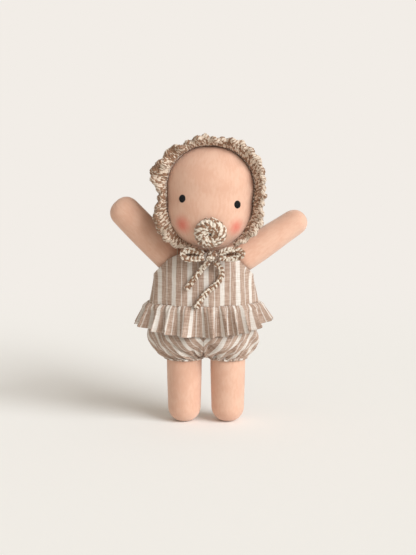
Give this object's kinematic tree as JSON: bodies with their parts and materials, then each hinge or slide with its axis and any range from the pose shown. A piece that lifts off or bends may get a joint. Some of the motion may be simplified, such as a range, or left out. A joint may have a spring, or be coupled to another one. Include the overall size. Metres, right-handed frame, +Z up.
{
  "type": "waldorf doll",
  "caption": "Stuffed knit baby doll with a ruffled crochet bonnet tied in a bow, a crochet pacifier, and a striped linen peplum top over bloomers.",
  "frame": {"origin": "on the floor under the middle of the doll's bounding box, at the height of the soles", "axes": "+Z up; the doll faces -Y; +X is the doll's own left"},
  "size_m": [0.1708, 0.0884, 0.2523],
  "materials": {
    "knit_skin": "matte brushed cotton knit, peach",
    "wool": "matte carded wool",
    "crochet": "marled two-ply cotton yarn, crocheted",
    "linen": "striped linen, cream and taupe",
    "black_thread": "black embroidery floss, satin stitch",
    "pale_thread": "strong waxed thread",
    "elastic": "covered elastic, matte",
    "magnet": "plated disc magnet",
    "button": "small turned wooden button, satin"
  },
  "bodies": {
    "torso": {"torso_skin": "knit_skin", "torso_wool": "wool", "hip_thread_left": "pale_thread", "hip_thread_right": "pale_thread", "top_bodice": "linen", "top_peplum": "linen", "back_button": "button", "button_loop": "pale_thread", "bloomers_left": "linen", "bloomers_right": "linen", "waist_elastic": "elastic"},
    "head": {"head_skin": "knit_skin", "head_wool_core": "wool", "eye_line_tie": "pale_thread", "mouth_magnet": "magnet", "eye_left": "black_thread", "eye_right": "black_thread", "neck_tie": "pale_thread", "bonnet_cap": "crochet", "bonnet_brim": "crochet", "tie_left": "crochet", "tie_right": "crochet", "bow_knot": "crochet", "bow_loop_left": "crochet", "bow_loop_right": "crochet", "bow_tail_left": "crochet", "bow_tail_right": "crochet"},
    "pacifier": {"pacifier": "crochet", "pacifier_magnet": "magnet"},
    "shoulder_left": {"shoulder_thread_left": "pale_thread"},
    "arm_left": {"arm_left_skin": "knit_skin", "arm_left_wool": "wool"},
    "shoulder_right": {"shoulder_thread_right": "pale_thread"},
    "arm_right": {"arm_right_skin": "knit_skin", "arm_right_wool": "wool"},
    "leg_left": {"leg_left_skin": "knit_skin", "leg_left_wool": "wool", "cuff_elastic_left": "elastic"},
    "leg_right": {"leg_right_skin": "knit_skin", "leg_right_wool": "wool", "cuff_elastic_right": "elastic"}
  },
  "joints": [
    {"name": "head_turn", "type": "hinge", "parent": "torso", "child": "head", "pos_m": [-0.00275, 0.00663, 0.145], "axis": [0, 0, 1], "range_deg": [-12, 12], "deforming": ["bow_tail_left", "bow_tail_right"]},
    {"name": "pacifier_pull", "type": "slide", "parent": "head", "child": "pacifier", "axis": [0, -0.9511, -0.309], "range_m": [0, 0.04]},
    {"name": "shoulder_left_swing", "type": "hinge", "parent": "torso", "child": "shoulder_left", "pos_m": [0.02975, 0.00963, 0.145], "axis": [0, 0, 1], "range_deg": [-28, 8]},
    {"name": "shoulder_left_raise", "type": "hinge", "parent": "shoulder_left", "child": "arm_left", "pos_m": [0.02975, 0.00963, 0.145], "axis": [0.342, -0.9397, 0], "range_deg": [-22, 4]},
    {"name": "shoulder_right_swing", "type": "hinge", "parent": "torso", "child": "shoulder_right", "pos_m": [-0.03525, 0.00963, 0.145], "axis": [0, 0, -1], "range_deg": [-8, 24]},
    {"name": "shoulder_right_raise", "type": "hinge", "parent": "shoulder_right", "child": "arm_right", "pos_m": [-0.03525, 0.00963, 0.145], "axis": [0, 1, 0], "range_deg": [-34, 3]},
    {"name": "hip_left", "type": "hinge", "parent": "torso", "child": "leg_left", "pos_m": [0.01625, 0.00663, 0.074], "axis": [1, 0, 0], "range_deg": [-90, 20], "deforming": ["bloomers_left", "top_peplum"]},
    {"name": "hip_right", "type": "hinge", "parent": "torso", "child": "leg_right", "pos_m": [-0.02175, 0.00663, 0.074], "axis": [1, 0, 0], "range_deg": [-90, 20], "deforming": ["bloomers_right", "top_peplum"]}
  ]
}
